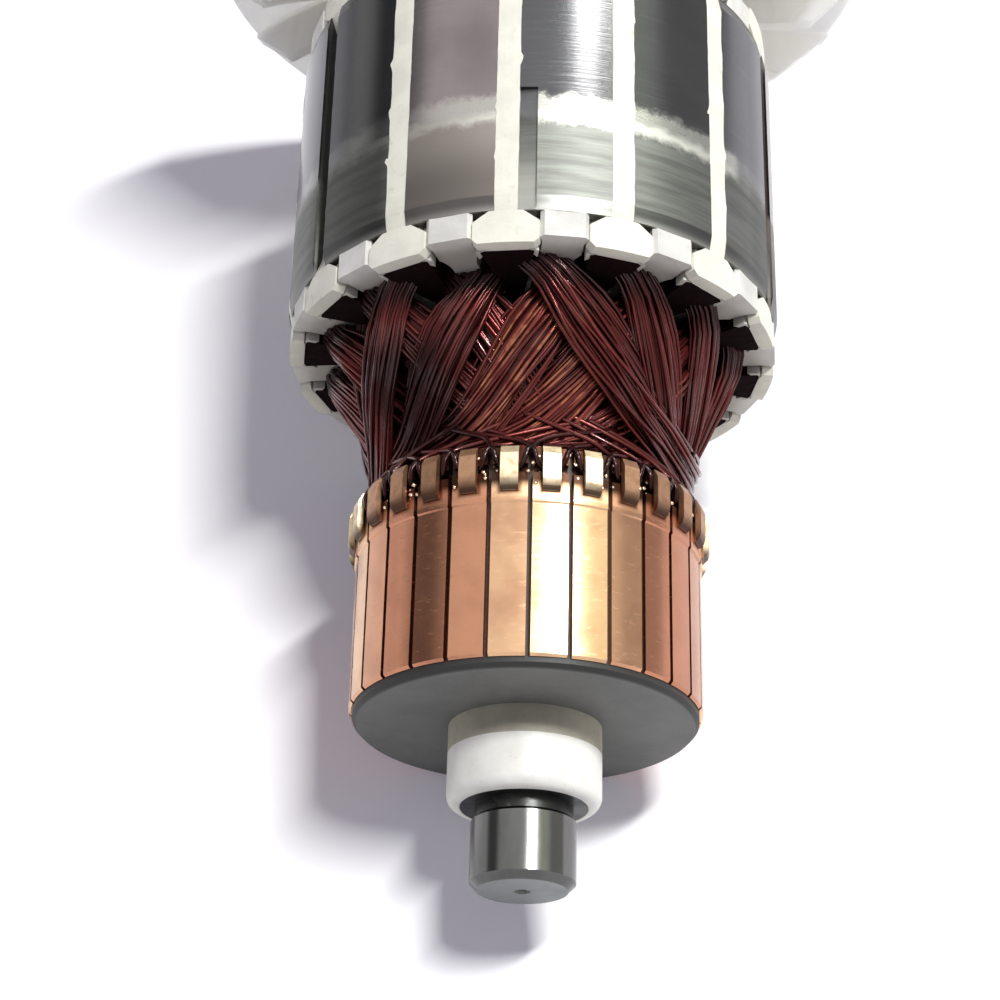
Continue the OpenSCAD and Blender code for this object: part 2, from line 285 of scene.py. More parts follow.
def steel_finish(colour):
    """Ground steel. The turned relief beside the shoulder, the chamfer at the end and the
    centre hole are darkened as painted shade.
    """
    finish = Finish("ground_steel", {"Metallic": 1.0})
    place, y, radius, _ = round_shaft(finish)
    lines = finish.rings(y, 9.0, 5.0)
    fine = finish.rings(y + radius, 40.0)
    smears = finish.noise(finish.stretched(place, 1, 0.25, 1), 0.5, 4.0)
    relief = y.rise(RELIEF_START - 0.05, RELIEF_START + 0.1)
    shoulder = relief * (1 - y.rise(SHOULDER + 0.02, SHOULDER + 0.1))
    tip = 1 - y.rise(SHAFT_START + 0.01, SHAFT_START + 0.06)
    edge = 1 - y.rise(SHAFT_START + 0.5, SHAFT_START + 0.7)
    pits = finish.noise(place, 2.2, 3.0).rise(0.6, 0.72)
    tone = finish.mix(smears.rise(0.35, 0.7), colour, tinted(colour, 0.75))
    # painted shade on the chamfer at the shaft's end
    tone = finish.mix(edge * 0.6, tone, (0.09, 0.092, 0.09))
    tone = finish.mix(tip * 0.9, tone, (0.25, 0.26, 0.26))
    # painted shade in the centre hole
    hole = 1 - radius.rise(0.45, 0.75)
    tone = finish.mix(hole * tip, tone, (0.05, 0.055, 0.06))
    # painted shade in the turned relief groove beside the shoulder
    tone = finish.mix(shoulder * (0.9 - 0.3 * pits), tone, (0.03, 0.031, 0.03))
    finish.feed("Base Color", tone)
    rough = 0.1 + 0.12 * lines + 0.12 * smears.rise(0.45, 0.75)
    finish.feed("Roughness", rough + 0.18 * shoulder + 0.3 * tip)
    finish.bump(lines * 0.6 + fine * 0.4 + shoulder * pits, 0.0035)
    return finish


def sleeve_finish(colour):
    finish = Finish("moulded_sleeve", {"Specular IOR Level": 0.4})
    place = finish.place()
    stains = finish.noise(place, 0.45, 4.0)
    grime = finish.noise(place, 1.6, 5.0).rise(0.55, 0.75)
    tone = finish.mix(stains.rise(0.35, 0.7), colour, tinted(colour, 0.86))
    tone = finish.mix(grime * 0.22, tone, (0.24, 0.21, 0.15))
    finish.feed("Base Color", tone)
    finish.feed("Roughness", 0.48 + 0.14 * stains)
    finish.bump(stains * 2 + grime, 0.02)
    return finish


def bush_finish(colour):
    finish = Finish("moulded_bush", {"Specular IOR Level": 0.45})
    place = finish.place()
    cloud = finish.noise(place, 0.5, 3.0)
    flecks = finish.noise(place, 3.2, 3.0).rise(0.66, 0.74)
    tone = finish.mix(cloud.rise(0.4, 0.75), colour, tinted(colour, 0.92))
    tone = finish.mix(flecks * 0.25, tone, (0.45, 0.4, 0.3))
    finish.feed("Base Color", tone)
    finish.feed("Roughness", 0.34 + 0.16 * cloud)
    finish.bump(finish.noise(place, 0.7, 4.0), 0.12, 0.6)
    return finish


def lamination_finish(colour, band_colour):
    """Dark steel that was ground bright in a band near the commutator.

    Some teeth are painted lighter and more brown as a painted reflection, and one has a
    balancing cut along its edge. The band's ragged edge has a painted highlight, and the
    bevel, the slot walls, the cut and the core's left and right sides have painted shade.
    """
    finish = Finish("electrical_steel", {"Metallic": 1.0})
    place, y, radius, angle = round_shaft(finish)
    depth = y - STACK_START
    tooth = ((angle - FIRST_SLOT) / SLOT_PITCH).floor().cycle(len(WEDGES))
    # painted reflection: every fifth tooth from the third is painted lighter and more brown
    painted_sheen_teeth = 1 - abs(tooth.cycle(5) - 2).rise(0.2, 0.8)
    sheets = finish.rings(y, 4.0)
    scratches = finish.noise(
        finish.vector(angle * 1.2, y * 2.4, radius * 0.2), 3.0, 5.0, 0.6
    )
    strokes = finish.noise(finish.vector(angle * 3, y * 1.5, 0), 1.0, 4.0)
    cloud = finish.noise(place, 0.16, 3.0)
    rim = finish.noise(finish.vector(angle * 8, y * 0.4, 0), 2.0, 5.0, 0.7)
    ragged = depth + rim * 2.2
    band = 1 - ragged.rise(9.2, 10.4)
    # painted highlight on the band's ragged edge, full on the middle and right teeth, weaker
    # on the left and faint at the far right; partly the edge's freshly ground steel
    painted_lit_share = (0.35 + 0.65 * angle.rise(-0.65, -0.2)) * (1 - 0.85 * angle.rise(0.86, 0.94))
    edge = ragged.between(9.0, 11.4, 0.5) * painted_lit_share * (1 - 0.2 * painted_sheen_teeth)
    outside = radius.rise(STACK_R - 0.2, STACK_R - 0.05)
    cut = (1 - radius.rise(STACK_R - 0.28, STACK_R - 0.1)) * radius.rise(
        STACK_R - 0.5, STACK_R - 0.4
    )
    bevel = 1 - depth.rise(CORE_BEVEL - 0.1, CORE_BEVEL + 0.1)
    # painted shade on the slot walls and end faces below the outer surface
    painted_inner_shade = 1 - radius.rise(STACK_R - 1.4, STACK_R - 0.9)
    tone = finish.mix(painted_sheen_teeth, colour, scaled(colour, (2.3, 1.95, 1.9)))
    tone = finish.mix(cloud.rise(0.4, 0.75) * 0.35, tone, tinted(colour, 0.7))
    tone = finish.mix(scratches.rise(0.5, 0.8) * 0.5, tone, tinted(colour, 1.6))
    brown = scaled(band_colour, (1.45, 1.28, 1.26))
    brushed = finish.mix(
        (scratches * 0.3 + strokes * 0.7).rise(0.35, 0.65),
        tinted(band_colour, 0.6),
        band_colour,
    )
    brown = finish.mix(depth.rise(2.5, 7.5), tinted(brown, 0.52), brown)
    tone = finish.mix(band * 0.85, tone, finish.mix(painted_sheen_teeth, brushed, brown))
    tone = finish.mix(edge * outside * 0.7, tone, FRESH_STEEL_HIGHLIGHT)
    # painted shade: the left tooth and the far right side of the core are darkened
    painted_side_shade = angle.between(-1.1, -0.62, 0.05) * 0.55 + angle.rise(0.98, 1.06) * 0.3
    tone = finish.mix(painted_side_shade, tone, (0.03, 0.03, 0.028))
    # painted shade on the front bevel, except just right of straight up, where its highlight
    # stays
    painted_bevel_shade = bevel * (1 - angle.between(0.0, 0.3, 0.03))
    tone = finish.mix(painted_bevel_shade * 0.55, tone, (0.07, 0.068, 0.07))
    # painted shade deeper in the balancing cut; the milled steel near its front end stays
    # lighter
    painted_cut_shade = cut * depth.rise(2.0, 6.0) * 0.35
    tone = finish.mix(cut * (1 - depth.rise(1.5, 7.0)) * 0.5, tone, CUT_STEEL)
    tone = finish.mix(painted_cut_shade.most(painted_inner_shade * 0.6), tone, (0.04, 0.04, 0.042))
    finish.feed("Base Color", tone)
    rough = 0.13 + 0.1 * scratches + edge * 0.1 + cut * 0.2
    rough = rough + band * (0.3 - 0.14 * bevel)
    finish.feed("Roughness", rough)
    finish.bump(sheets * 0.35 + scratches * 0.65, 0.008)
    return finish


def insulation_finish(name, colour, shade, inward_shade_and_soil):
    """Cream nylon, clouded by a shade, and darkened toward the shaft by a share, partly
    painted shade and partly soil.
    """
    finish = Finish(name, {"Specular IOR Level": 0.35})
    place, _, radius, _ = round_shaft(finish)
    cloud = finish.noise(place, 0.4, 3.0)
    grain = finish.noise(place, 3.5, 4.0)
    smudge = finish.noise(place, 1.1, 5.0).rise(0.6, 0.8)
    tone = finish.mix(cloud.rise(0.35, 0.7), colour, shade)
    tone = finish.mix(smudge * 0.3, tone, GREASE)
    # painted shade with some soil: darker toward the shaft
    inward = 1 - radius.rise(STACK_R - 2.6, STACK_R - 0.5)
    tone = finish.mix(inward * inward_shade_and_soil, tone, (0.3, 0.27, 0.22))
    finish.feed("Base Color", tone)
    finish.feed("Roughness", 0.42 + 0.2 * grain)
    finish.bump(grain * 0.4 + cloud * 0.6, 0.08, 0.7)
    return finish


def wire_finish(colour, glow):
    """Enamelled wire, with painted sheen streaks on the strands near the top and painted shade
    at the slot mouths, by the hooks and in a dark patch on the left. Strands above 1 are cut
    ends of bare copper.
    """
    finish = Finish(
        "enamelled_copper",
        {"Coat Roughness": 0.1, "Coat IOR": 1.5, "Specular IOR Level": 0.3},
    )
    place, y, _, angle = round_shaft(finish)
    strand = finish.node("ShaderNodeAttribute", {"attribute_name": "strand"}, None, 2)
    patches = finish.noise(place, 0.3, 3.0)
    flow = finish.noise(place, 2.2, 4.0)
    sheen_streaks = finish.noise(place, 0.8, 2.0).rise(0.42, 0.6)
    # painted sheen: streaks in the glow colour on higher-toned strands near the top of the
    # head
    light = strand.rise(0.35, 1.0) * (0.15 + 0.85 * sheen_streaks)
    light = light * angle.between(-0.75, 0.4, 0.2)
    # painted shade on the strands near the slot mouths and by the hooks, and a dark patch of
    # painted shade on the left of the front head
    painted_mouth_shade = y.rise(CUFFS_START - 3.0, CUFFS_START - 0.6) * (
        1 - y.rise(CUFFS_END + 0.5, CUFFS_END + 2.5)
    )
    painted_shade_by_hooks = 1 - y.rise(BARS_END - 0.2, BARS_END + 1.3)
    painted_dark_shade = angle.between(-1.0, -0.45, 0.12) * y.between(28.8, 37.0, 1.6)
    bare = strand.rise(1.2, 1.4)
    tone = finish.mix(strand.rise(0.0, 0.8), tinted(colour, 0.3), colour)
    tone = finish.mix(light, tone, glow)
    dark = (painted_mouth_shade * 0.82).most(painted_shade_by_hooks * 0.88).most(painted_dark_shade * 0.85)
    tone = finish.mix(dark, tone, SHADED_ENAMEL)
    tone = finish.mix(bare, tone, BARE_COPPER)
    finish.feed("Base Color", tone)
    finish.feed("Metallic", 0.6 + 0.2 * light + 0.2 * bare)
    finish.feed("Roughness", 0.13 + 0.2 * flow)
    finish.feed("Coat Weight", 0.5 * patches.rise(0.42, 0.62))
    finish.bump(flow, 0.03, 0.5)
    return finish


def shadow_finish(colour):
    """Varnished turns inside the winding heads, painted near-black as painted shade."""
    finish = Finish("shaded_varnished_turns", {"Specular IOR Level": 0.05})
    place = finish.place()
    turns = finish.noise(finish.stretched(place, 1, 6, 1), 1.2, 3.0)
    finish.feed("Base Color", finish.mix(turns, colour, tinted(colour, 0.4)))
    finish.feed("Roughness", 0.7 + 0.2 * turns)
    finish.bump(turns, 0.2, 0.5)
    return finish


def copper_finish(colour, dull):
    """Turned bars whose tone rises and falls as a painted reflection, with hooks in painted
    light and painted shade, varnished gaps darkened as painted shade, and painted glints and
    edge highlights.
    """
    finish = Finish("turned_copper", {"Metallic": 1.0})
    place, y, radius, angle = round_shaft(finish)
    turn = (angle - FIRST_SLOT) / BAR_PITCH + 0.5
    number = turn.floor()
    across = abs(turn - number - 0.5)
    bar_tone = finish.node(
        "ShaderNodeTexWhiteNoise",
        {"noise_dimensions": "1D"},
        {"W": number.cycle(len(BARS)) + 7.5},
    )
    turning = finish.rings(y, 14.0, 4.0)
    rub = finish.noise(finish.stretched(place, 1, 3, 1), 1.1, 5.0)
    cloud = finish.noise(place, 0.3, 3.0)
    riser = y.rise(TRACK_END + 0.2, TRACK_END + 0.8)
    low = 1 - radius.rise(TRACK_R + 0.2, TRACK_R + 0.3)
    hook = riser * (1 - low)
    # painted shade on the front of each hook
    painted_nose_shade = hook * (1 - y.rise(TRACK_END + 1.0, TRACK_END + 2.3))
    # varnish between the hooks, painted darker as painted shade
    varnish_and_shade = low * y.rise(TRACK_END + 1.0, TRACK_END + 1.9)
    splash = finish.noise(place, 1.6, 4.0)
    # painted glints: bright dots in the varnish between the hooks
    dots = finish.node(
        "ShaderNodeTexVoronoi", None, {"Vector": place, "Scale": 1.5}, "Distance"
    )
    painted_glint = (1 - dots.rise(0.1, 0.16)) * varnish_and_shade
    side = across.rise(0.44, 0.47)
    # painted reflection and painted light: the bars' tone and the hooks' paleness rise and
    # fall every seven bars
    painted_light_swell = 0.5 - 0.5 * ((number + 1) * (ENTIRE_TURN / 7) + math.pi / 2).sine()
    tone = finish.mix((painted_light_swell + 0.3 * bar_tone).rise(0.15, 1.1), colour, dull)
    tone = finish.mix(cloud.rise(0.4, 0.7) * 0.4, tone, tinted(dull, 0.75))
    # painted highlight along both edges of each bar's track
    tone = finish.mix(side * (1 - riser) * 0.7, tone, (0.95, 0.75, 0.58))
    hook_painted_light = finish.mix(painted_light_swell.rise(0.1, 0.6), LIT_HOOK, SHADED_HOOK)
    # painted shade under and beside each hook
    under = low * y.rise(TRACK_END + 0.5, TRACK_END + 0.9) * (1 - across.rise(0.24, 0.34))
    tone = finish.mix(hook * 0.9, tone, hook_painted_light)
    tone = finish.mix(under * 0.75, tone, (0.1, 0.035, 0.02))
    tone = finish.mix(hook * splash.rise(0.4, 0.75) * 0.5, tone, (0.3, 0.13, 0.06))
    tone = finish.mix(painted_nose_shade * 0.95, tone, (0.05, 0.025, 0.018))
    tone = finish.mix(varnish_and_shade * 0.97, tone, (0.03, 0.011, 0.007))
    tone = finish.mix(painted_glint, tone, (0.8, 0.66, 0.55))
    finish.feed("Base Color", tone)
    rough = 0.16 + 0.1 * turning + 0.1 * rub.rise(0.5, 0.8) + 0.2 * riser
    finish.feed("Roughness", rough)
    finish.bump(turning * 0.5 + rub * 0.2 + riser * splash * 5, 0.006)
    return finish


def moulding_finish(colour):
    finish = Finish("moulding_compound", {"Specular IOR Level": 0.4})
    place, y, radius, _ = round_shaft(finish)
    cloud = finish.noise(place, 0.25, 4.0)
    speckle = finish.noise(place, 6.0, 3.0)
    dust = finish.noise(place, 1.3, 5.0).rise(0.58, 0.78)
    # painted shade on the moulding between the bars
    painted_bar_gap_shade = y.rise(BARS_START, BARS_START + 0.4)
    # painted shadow: a near-black line round the rim where the bars end
    rim = radius.rise(MOULDING_R - 0.45, MOULDING_R - 0.25)
    tone = finish.mix(cloud.rise(0.35, 0.7), colour, tinted(colour, 0.8))
    tone = finish.mix(speckle.rise(0.55, 0.75) * 0.35, tone, tinted(colour, 1.6))
    tone = finish.mix(dust * 0.2, tone, DUST)
    tone = finish.mix(rim * 0.9, tone, (0.012, 0.012, 0.011))
    tone = finish.mix(painted_bar_gap_shade * 0.8, tone, (0.05, 0.025, 0.016))
    finish.feed("Base Color", tone)
    finish.feed("Roughness", 0.44 + 0.16 * speckle)
    finish.bump(speckle * 0.5 + cloud * 0.5, 0.03, 0.7)
    return finish


def fan_finish(colour):
    finish = Finish(
        "fan_moulding",
        {
            "Specular IOR Level": 0.45,
            "Subsurface Weight": 0.9,
            "Subsurface Radius": (1.0, 0.95, 0.75),
            "Subsurface Scale": 0.025,
        },
    )
    place, _, radius, _ = round_shaft(finish)
    cloud = finish.noise(place, 0.12, 3.0)
    grain = finish.noise(place, 4.0, 3.0)
    flow = finish.rings(radius + cloud * 3, 0.6, 3.0)
    tone = finish.mix(cloud.rise(0.35, 0.7), colour, tinted(colour, 0.93))
    tone = finish.mix(flow.rise(0.5, 0.8) * 0.25, tone, tinted(colour, 0.85))
    finish.feed("Base Color", tone)
    finish.feed("Roughness", 0.38 + 0.14 * grain)
    finish.bump(grain * 0.5 + flow * 0.5, 0.02, 0.6)
    return finish


# ------------------------------------------------------------ mesh pieces


def linked(name, data):
    """A new object in the scene."""
    made = bpy.data.objects.new(name, data)
    bpy.context.scene.collection.objects.link(made)
    return made


def shade_smooth(mesh, smooth):
    mesh.polygons.foreach_set("use_smooth", [smooth] * len(mesh.polygons))


def wire_piece(name, points, faces, material, tones=None):
    """A smooth piece of the winding from points in millimetres."""
    mesh = bpy.data.meshes.new(name)
    mesh.from_pydata((np.asarray(points) * MM).tolist(), [], faces)
    shade_smooth(mesh, True)
    if tones is not None:
        held = mesh.attributes.new("strand", "FLOAT", "POINT")
        held.data.foreach_set("value", np.asarray(tones, np.float32))
    mesh.materials.append(material)
    mesh.update()
    piece = linked(name, mesh)
    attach(piece, "root")
    return piece


def spline(points, steps):
    """Smooth curves through the run of many guide points, one row each."""
    guides = np.concatenate(
        [points[:, :1]] * 2 + [points] + [points[:, -1:]] * 2, axis=1
    )
    spans = guides.shape[1] - 3
    at = np.linspace(0, spans - 1e-6, steps)
    first = at.astype(int)
    t = (at - first)[None, :, None]
    a, b, c, d = (guides[:, first + k] for k in range(4))
    return (
        (1 - t) ** 3 * a
        + (3 * t**3 - 6 * t**2 + 4) * b
        + (-3 * t**3 + 3 * t**2 + 3 * t + 1) * c
        + t**3 * d
    ) / 6


def from_shaft(angle, y, radius):
    """Points from an angle round the shaft, a place along it and a radius."""
    return np.stack([radius * np.sin(angle), y + 0 * angle, radius * np.cos(angle)], -1)


def wires(curves, radius, sides):
    """Points and faces of round wires along curves, and each point's wire."""
    count, steps, _ = curves.shape
    ahead = np.gradient(curves, axis=1)
    ahead /= np.linalg.norm(ahead, axis=2, keepdims=True)
    side = np.cross(ahead[:, 0], [0.31, 0.17, 0.94])
    rings = []
    for k in range(steps):
        side = side - (side * ahead[:, k]).sum(1, keepdims=True) * ahead[:, k]
        side /= np.linalg.norm(side, axis=1, keepdims=True)
        up = np.cross(ahead[:, k], side)
        turn = np.linspace(0, ENTIRE_TURN, sides, endpoint=False)
        ring = (
            side[:, None] * np.cos(turn)[None, :, None]
            + up[:, None] * np.sin(turn)[None, :, None]
        )
        rings.append(curves[:, k, None] + radius * ring)
    points = np.stack(rings, 1).reshape(-1, 3)
    faces = []
    for wire in range(count):
        base = wire * steps * sides
        for k in range(steps - 1):
            low = base + k * sides
            for s in range(sides):
                n = (s + 1) % sides
                faces.append((low + s, low + n, low + sides + n, low + sides + s))
        last = base + (steps - 1) * sides
        faces.append(tuple(base + s for s in reversed(range(sides))))
        faces.append(tuple(last + s for s in range(sides)))
    return points, faces, np.repeat(np.arange(count), steps * sides)


# --------------------------------------------------------------- windings

LAYERS = 7
# Faces round a strand, round a filling and round a lead
STRAND_SIDES = 6
FILLING_SIDES = 12
LEAD_SIDES = 8
# Shares of the way from slot to slot, and how far the coil has climbed there
CLIMB_AT = (0.0, 0.03, 0.06, 0.12, 0.2, 0.3, 0.43, 0.5)
CLIMB_TO = (-0.3, -0.14, -0.03, 0.26, 0.57, 0.84, 0.98, 1.0)
# Shares of a head's length, and how far the coils have closed in on the shaft
CLOSE_AT = (0.0, 0.25, 0.43, 0.57, 0.67, 0.76, 1.0)
CLOSE_TO = (0.0, 0.12, 0.36, 0.63, 0.82, 0.98, 1.0)
# The coil wound last lies flatter and wider than the others
LAST_COIL = 13
LAST_RISE = 0.79
# Half the width and height of a coil in its slot and in the open
SLOT_SECTION = (1.4, 1.25)
OPEN_SECTION = (2.25, 1.0)
LAST_SECTION = (2.5, 1.0)
# Rows of strands in that section, from its top down, in half heights
TOP_ROW, LAST_ROW, ROW_STEP = 0.92, -0.5, 0.25
# How far strands and fillings stay clear of the commutator or the fan
STRAND_GAP = 1.1
FILLING_GAP = 1.3
# Coils with brighter strands, which carry more painted sheen, and how bright the strands are
FAN_COILS = (8, 9, 10)
FAN_TONES = (0.3, 0.9)
PLAIN_TONES = (0.12, 0.5)
# The tone that marks bare copper, and the radius of the cut wire ends
BARE_TONE = 1.5
CUT_END_R = 0.15
LEAD_SEED = 40


@dataclass
class Head:
    """One winding head, with its radius at the slots and at its far end."""

    word: str
    face: float
    way: int
    length: float
    rise: float
    mouth_r: float
    waist_r: float
    strand_pitch: float
    steps: int
    first_seed: int


FRONT = Head(
    word="front", face=CUFFS_START, way=-1, length=CUFFS_START - BARS_END, rise=12.3,
    mouth_r=14.9, waist_r=10.6, strand_pitch=0.14, steps=36, first_seed=0,
)
REAR = Head(
    word="rear", face=CUFFS_END, way=1,
    length=along("rear_winding_head")[1] - CUFFS_END, rise=7.2,
    mouth_r=14.3, waist_r=10.4, strand_pitch=0.165, steps=26, first_seed=100,
)


def layer_of(slot):
    """The layer of the coil that starts at a slot. The last wound is 6."""
    return LAYERS - 1 - (slot + 1) % LAYERS


def blend(share, first, second):
    """A value between two values, by a share from 0 to 1."""
    return first + (second - first) * share


def coil_middle(head, slot, span, t, chance):
    """Angle, distance from the core and radius along a coil's middle line."""
    layer = layer_of(slot)
    below = LAYERS - 1 - layer
    far = t > 0.5
    side = np.where(far, 1 - t, t)
    # The end that arrives from the left is pulled in more steeply
    side = np.where(far, side * (1.15 - 0.3 * side), side)
    rise = head.rise + chance.uniform(-0.3, 0.3)
    if slot == LAST_COIL:
        rise = LAST_RISE * head.rise
    away = rise * np.interp(side, CLIMB_AT, CLIMB_TO)
    closed = np.interp(away / head.length, CLOSE_AT, CLOSE_TO)
    over = 0.9 - 0.45 * below + 0.02 * below * below
    radius = blend(closed, head.mouth_r, head.waist_r) + over
    # In its slots a coil lies above or below its neighbour
    upper_r, lower_r = head.mouth_r + 1.4, head.mouth_r - 0.6
    first_r = upper_r if layer > 0 else lower_r
    last_r = upper_r if layer == LAYERS - 1 else lower_r
    out = np.clip((away - 0.3) / 3.2, 0, 1)
    radius = blend(out, np.where(far, last_r, first_r), radius)
    angle = FIRST_SLOT + slot * SLOT_PITCH + span * SLOT_PITCH * t
    return angle, away, radius


def strand_rows(chance, pitch):
    """Places of the outer strands in a coil's section, from -1 to 1."""
    places = []
    for row, high in enumerate(np.arange(TOP_ROW, LAST_ROW, -ROW_STEP)):
        reach = math.sqrt(1 - high * high)
        for wide in np.arange(-reach + pitch / 2 * (row % 2), reach, pitch):
            # Below the middle only the flanks show
            if high > -0.05 or abs(wide) > 0.62:
                places.append((wide + chance.uniform(-0.03, 0.03), high))
    return places


def coil(head, slot, span, wire_d, seed, material):
    """One coil's end turn, as strands that leave one slot for another."""
    chance = random.Random(seed)
    leg = np.array([0.0, 0.02, 0.045, 0.075, 0.11, 0.15, 0.2, 0.25, 0.31, 0.37, 0.43])
    t = np.concatenate([leg, [0.5], 1 - leg[::-1]])
    angle, away, radius = coil_middle(head, slot, span, t, chance)
    middle = from_shaft(angle, head.face + head.way * away, radius)
    ahead = np.gradient(middle, axis=0)
    ahead /= np.linalg.norm(ahead, axis=1, keepdims=True)
    outward = np.stack([np.sin(angle), 0 * angle, np.cos(angle)], -1)
    outward -= (outward * ahead).sum(1, keepdims=True) * ahead
    outward /= np.linalg.norm(outward, axis=1, keepdims=True)
    across = np.cross(outward, ahead)

    bend = np.clip(away / 3, 0, 1)
    section = LAST_SECTION if slot == LAST_COIL else OPEN_SECTION
    half_width, half_height = (
        blend(bend, tight, free) for tight, free in zip(SLOT_SECTION, section)
    )
    bright = FAN_TONES if slot in FAN_COILS and head.way < 0 else PLAIN_TONES
    along_coil = np.linspace(0, 1, len(t))
    twist = chance.uniform(-0.6, 0.6)
    curves, tones = [], []
    for wide, high in strand_rows(chance, head.strand_pitch):
        phase = [chance.uniform(0, ENTIRE_TURN) for _ in range(4)]
        pace = [chance.uniform(0.6, 1.9) for _ in range(2)]
        sway = 0.13 * np.sin(ENTIRE_TURN * pace[0] * along_coil + phase[0])
        sway += 0.05 * np.sin(ENTIRE_TURN * 3.1 * along_coil + phase[1])
        heave = 0.15 * np.sin(ENTIRE_TURN * pace[1] * along_coil + phase[2])
        # A few strands stand loose
        if chance.random() < 0.12:
            heave += 0.3
            sway *= 2.2
        roll = twist * (along_coil - 0.5) + 0.12 * np.sin(
            ENTIRE_TURN * along_coil + phase[3]
        )
        u = wide * np.cos(roll) - high * np.sin(roll) + sway * bend
        v = wide * np.sin(roll) + high * np.cos(roll) + heave * bend
        beside = across * (half_width * u)[:, None]
        above = outward * (half_height * v)[:, None]
        curves.append(middle + beside + above)
        tones.append(chance.uniform(*bright))
    steps = head.steps
    curves = spline(np.array(curves), steps)
    hold_back(curves, head, STRAND_GAP)
    points, faces, wire = wires(curves, wire_d / 2, STRAND_SIDES)
    tones = np.array(tones)[wire]

    # A dark filling under the outer strands
    core = spline(middle[None], steps)
    fill_points, fill_faces, _ = wires(core, 1.0, FILLING_SIDES)
    reach = fill_points.reshape(1, steps, FILLING_SIDES, 3) - core[:, :, None]
    sections = []
    for way, half in ((outward, half_height * 0.7), (across, half_width * 0.8)):
        way_now = spline(way[None], steps)[:, :, None]
        half_now = np.interp(np.linspace(0, 1, steps), along_coil, half)
        share = (reach * way_now).sum(-1, keepdims=True)
        sections.append(way_now * share * half_now.reshape(1, steps, 1, 1))
    fill_points = (core[:, :, None] + sum(sections)).reshape(-1, 3)
    hold_back(fill_points, head, FILLING_GAP)
    faces += [tuple(len(points) + corner for corner in face) for face in fill_faces]
    points = np.concatenate([points, fill_points])
    tones = np.concatenate([tones, np.zeros(len(fill_points))])
    wire_piece(f"{head.word}_coil_{slot + 1:02d}", points, faces, material, tones)


def hold_back(points, head, gap):
    """Keeps points a gap short of a head's far end, with a soft stop."""
    soft = 0.35
    room = head.length - gap - (points[..., 1] - head.face) * head.way
    room = soft * np.logaddexp(0, room / soft)
    points[..., 1] = head.face + head.way * (head.length - gap - room)


def under_winding(head, material):
    """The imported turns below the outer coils, as one rippled turned body."""
    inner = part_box("shaft_sleeve")[1].x / MM + 0.05
    end = head.length
    # Radius and distance from the core
    profile = [
        (inner, 0.0),
        (12.6, 0.0),
        (12.4, 0.22 * end),
        (11.0, 0.5 * end),
        (9.4, 0.75 * end),
        (9.0, end - 0.5),
        (inner, end - 0.5),
    ]
    turns = 112
    points, faces = [], []
    for k in range(turns):
        angle = ENTIRE_TURN * k / turns
        ripple = 0.12 * math.sin(len(WEDGES) * angle)
        for r, away in profile:
            r = r + (ripple if r > inner else 0)
            y = head.face + head.way * away
            points.append((r * math.sin(angle), y, r * math.cos(angle)))
    size = len(profile)
    for k in range(turns):
        here, following = k * size, (k + 1) % turns * size
        for p in range(size):
            q = (p + 1) % size
            faces.append((here + p, here + q, following + q, following + p))
    piece = wire_piece(f"{head.word}_under_winding", points, faces, material)
    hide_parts(f"{head.word}_winding_head")


# A lead's way to its hook: angle from the hook, distance past the bars and radius
FREE_ROUTE = ((44, 3.4, 11.6), (32, 2.4, 12.0), (22, 1.6, 12.4), (13, 1.0, 12.8))
HOOK_ROUTE = ((7.2, 0.5, 13.3), (5.2, -0.2, 13.95), (4.6, -1.0, 13.95), (3.2, -1.7, 13.4))


def lead_side(way, reach, drop):
    """Half of a lead. Only its free part, away from the hook, varies."""
    free = [(way * lean * reach, past + drop, r) for lean, past, r in FREE_ROUTE]
    return free + [(way * lean, past, r) for lean, past, r in HOOK_ROUTE]


def cut_ends(chance):
    """Curves of the short wire ends that stand up between the hooks."""
    steps = np.linspace(0, 1, 4)
    stubs = []
    for k in range(len(BARS)):
        for _ in range(chance.choice((2, 2, 3))):
            aside = math.radians(chance.uniform(-2.2, 2.2))
            angle = FIRST_SLOT + (k + 0.5) * BAR_PITCH + aside
            y = BARS_END - chance.uniform(0.3, 3.1)
            lean = chance.uniform(-0.012, 0.012)
            shift = chance.uniform(-0.15, 0.15)
            height = chance.uniform(0.16, 0.36)
            foot = TRACK_R + 0.02
            stubs.append(
                from_shaft(angle + lean * steps, y + shift * steps, foot + height * steps)
            )
    return np.array(stubs)


def hook_leads(wire_d, material):
    """The coil ends: they run round behind the hooks, and one passes under each."""
    chance = random.Random(LEAD_SEED)
    curves, tones = [], []
    for k in range(len(BARS)):
        middle = FIRST_SLOT + k * BAR_PITCH
        reach = [chance.uniform(0.7, 1.15) for _ in range(2)]
        drop = [chance.uniform(-0.5, 0.6) for _ in range(2)]
        left, right = (lead_side(*values) for values in zip((-1, 1), reach, drop))
        guides = np.array(left + right[::-1])
        angles = middle + np.radians(guides[:, 0] + chance.uniform(-0.3, 0.3))
        curves.append(from_shaft(angles, BARS_END + guides[:, 1], guides[:, 2]))
        tones.append(chance.uniform(0.0, 0.45))
    points, faces, wire = wires(spline(np.array(curves), 64), wire_d / 2, LEAD_SIDES)
    tones = np.array(tones)[wire]
    ends, end_faces, _ = wires(cut_ends(chance), CUT_END_R, LEAD_SIDES)
    faces += [tuple(len(points) + corner for corner in face) for face in end_faces]
    points = np.concatenate([points, ends])
    tones = np.concatenate([tones, np.full(len(ends), BARE_TONE)])
    wire_piece("hook_leads", points, faces, material, tones)


# ----------------------------------------------------------------- wedges

# Wedges that were pressed in deeper, and how far each kind stands out
DEEP_WEDGES = (3, 12)
DEEP_LIFT = -0.62
PLAIN_LIFT = 0.3
# Distance between the cuts that let a wedge's edges wander
CUT_STEP = 0.42
